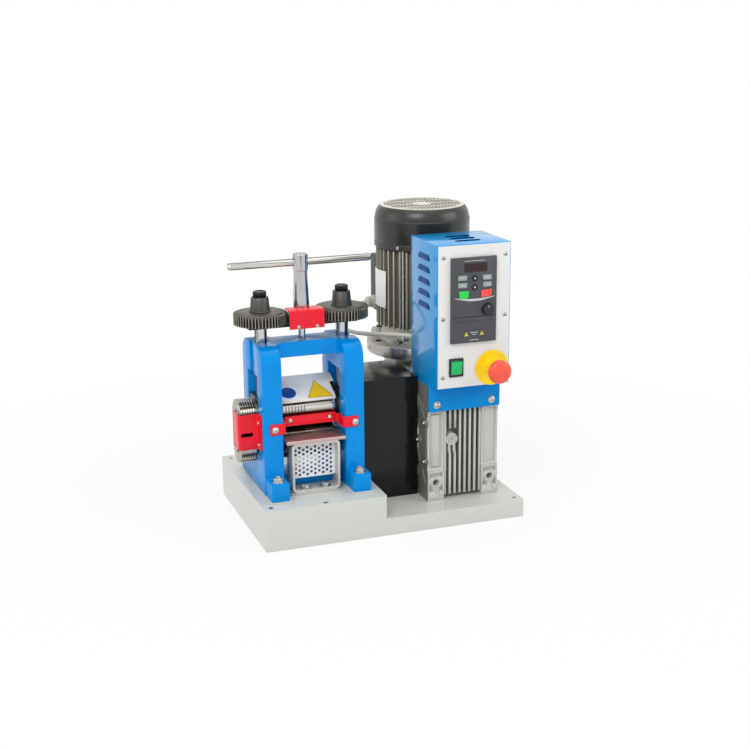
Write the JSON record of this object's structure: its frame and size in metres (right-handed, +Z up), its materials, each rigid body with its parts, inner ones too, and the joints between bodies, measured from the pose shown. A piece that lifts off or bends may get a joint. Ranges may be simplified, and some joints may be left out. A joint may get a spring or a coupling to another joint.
{
  "type": "electric rolling mill",
  "caption": "Bench rolling mill with geared twin pressure screws, cross handle, flat and grooved rolls, side rings, worm gear motor and a control box with drive unit and stop button",
  "frame": {"origin": "centre of the base footprint on its flat underside, at floor level", "axes": "+X to the right along the base from the mill to the gear motor, +Y to the rear, +Z up; the control panel and feed table face -Y"},
  "size_m": [0.4845, 0.4, 0.516],
  "materials": {
    "base_paint": "light warm grey gloss enamel",
    "pad_paint": "light grey gloss enamel",
    "blue_paint": "vivid blue gloss enamel over cast surfaces",
    "roll_steel": "ground and polished roll steel",
    "ring_steel": "turned steel",
    "chock_steel": "machined steel",
    "screw_chrome": "bright plated",
    "gear_steel": "dark phosphated steel",
    "dark_steel": "black satin",
    "red_paint": "bright red gloss powder coat",
    "handle_chrome": "bright plated",
    "tube_metal": "brushed light metal",
    "table_steel": "ground steel, shiny",
    "screen_white": "white gloss powder coat",
    "sheet_grey": "light grey enamel",
    "cover_black": "black gloss enamel",
    "gearbox_grey": "silver grey paint over a casting",
    "flange_cast": "bare light casting",
    "motor_cast": "dull grey die-cast fins",
    "cowl_black": "black satin steel cowl",
    "terminal_plastic": "dark grey moulding",
    "gland_plastic": "light grey moulding",
    "cable_sheath": "light grey sheath",
    "plate_metal": "bare matt plate",
    "panel_grey": "light grey satin panel",
    "drive_plastic": "dark grey moulding",
    "dial_plastic": "black knob",
    "switch_black": "black bezel",
    "rocker_green": "translucent green look",
    "stop_yellow": "yellow moulding",
    "stop_red": "red mushroom head"
  },
  "bodies": {
    "frame": {"base_pan": "base_paint", "left_pad": "pad_paint", "right_pad": "pad_paint", "left_housing": "blue_paint", "right_housing": "blue_paint", "top_bridge": "blue_paint", "lower_tie": "blue_paint", "table_tube": "tube_metal", "table_plate": "table_steel", "perforated_screen": "screen_white", "guard_strap": "red_paint", "guard_bar": "red_paint", "ring_guard": "red_paint", "drive_cover": "cover_black", "gearbox": "gearbox_grey", "output_flange": "gearbox_grey", "input_flange": "flange_cast", "motor_body": "motor_cast", "fan_cowl": "cowl_black", "terminal_box": "terminal_plastic", "cable_gland": "gland_plastic", "motor_cable": "cable_sheath", "name_plate": "plate_metal", "control_bracket": "blue_paint", "control_box": "blue_paint", "control_panel": "panel_grey", "drive_unit": "drive_plastic", "switch_frame": "switch_black", "stop_collar": "stop_yellow"},
    "carriage": {"gear_bar": "dark_steel", "gear_cover": "red_paint", "guide_spindle": "screw_chrome"},
    "handle": {"handle_shaft": "handle_chrome", "handle_bar": "handle_chrome", "pinion": "gear_steel"},
    "left_screw_gear": {"left_screw": "screw_chrome", "left_gear": "gear_steel"},
    "right_screw_gear": {"right_screw": "screw_chrome", "right_gear": "gear_steel"},
    "chocks": {"left_chock": "chock_steel", "right_chock": "chock_steel", "rear_plate": "sheet_grey"},
    "upper_roll_set": {"upper_roll": "roll_steel", "upper_ring": "ring_steel"},
    "lower_roll_set": {"lower_roll": "roll_steel", "lower_ring": "ring_steel"},
    "dial": {"dial_knob": "dial_plastic"},
    "rocker": {"switch_rocker": "rocker_green"},
    "stop": {"stop_button": "stop_red"}
  },
  "joints": [
    {"name": "carriage_lift", "type": "slide", "parent": "frame", "child": "carriage", "axis": [0, 0, 1], "range_m": [0, 0.006]},
    {"name": "handle_turn", "type": "hinge", "parent": "carriage", "child": "handle", "pos_m": [-0.125, -0.023, 0.4], "axis": [0, 0, 1], "range_deg": [0, 1090]},
    {"name": "left_screw_turn", "type": "hinge", "parent": "carriage", "child": "left_screw_gear", "pos_m": [-0.19555, -0.023, 0.362], "axis": [0, 0, 1], "range_deg": [-720, 0]},
    {"name": "right_screw_turn", "type": "hinge", "parent": "carriage", "child": "right_screw_gear", "pos_m": [-0.05445, -0.023, 0.362], "axis": [0, 0, 1], "range_deg": [-720, 0]},
    {"name": "chock_lift", "type": "slide", "parent": "frame", "child": "chocks", "axis": [0, 0, 1], "range_m": [0, 0.006]},
    {"name": "lower_roll_turn", "type": "hinge", "parent": "frame", "child": "lower_roll_set", "pos_m": [-0.125, -0.023, 0.1435], "axis": [1, 0, 0], "continuous": true},
    {"name": "upper_roll_turn", "type": "hinge", "parent": "chocks", "child": "upper_roll_set", "pos_m": [-0.125, -0.023, 0.1987], "axis": [1, 0, 0], "continuous": true},
    {"name": "dial_turn", "type": "hinge", "parent": "frame", "child": "dial", "pos_m": [0.157, -0.147, 0.3725], "axis": [0, 1, 0], "range_deg": [-140, 140]},
    {"name": "rocker_tilt", "type": "hinge", "parent": "frame", "child": "rocker", "pos_m": [0.104, -0.141, 0.2765], "axis": [1, 0, 0], "range_deg": [-16, 0]},
    {"name": "stop_press", "type": "slide", "parent": "frame", "child": "stop", "axis": [0, 1, 0], "range_m": [0, 0.005]}
  ],
  "couplings": [
    {"joint": "left_screw_turn", "follows": "handle_turn", "ratio": -0.66},
    {"joint": "right_screw_turn", "follows": "handle_turn", "ratio": -0.66},
    {"joint": "carriage_lift", "follows": "handle_turn", "m_per_rad": 0.00031513},
    {"joint": "chock_lift", "follows": "handle_turn", "m_per_rad": 0.00031513},
    {"joint": "upper_roll_turn", "follows": "lower_roll_turn", "ratio": -1}
  ]
}
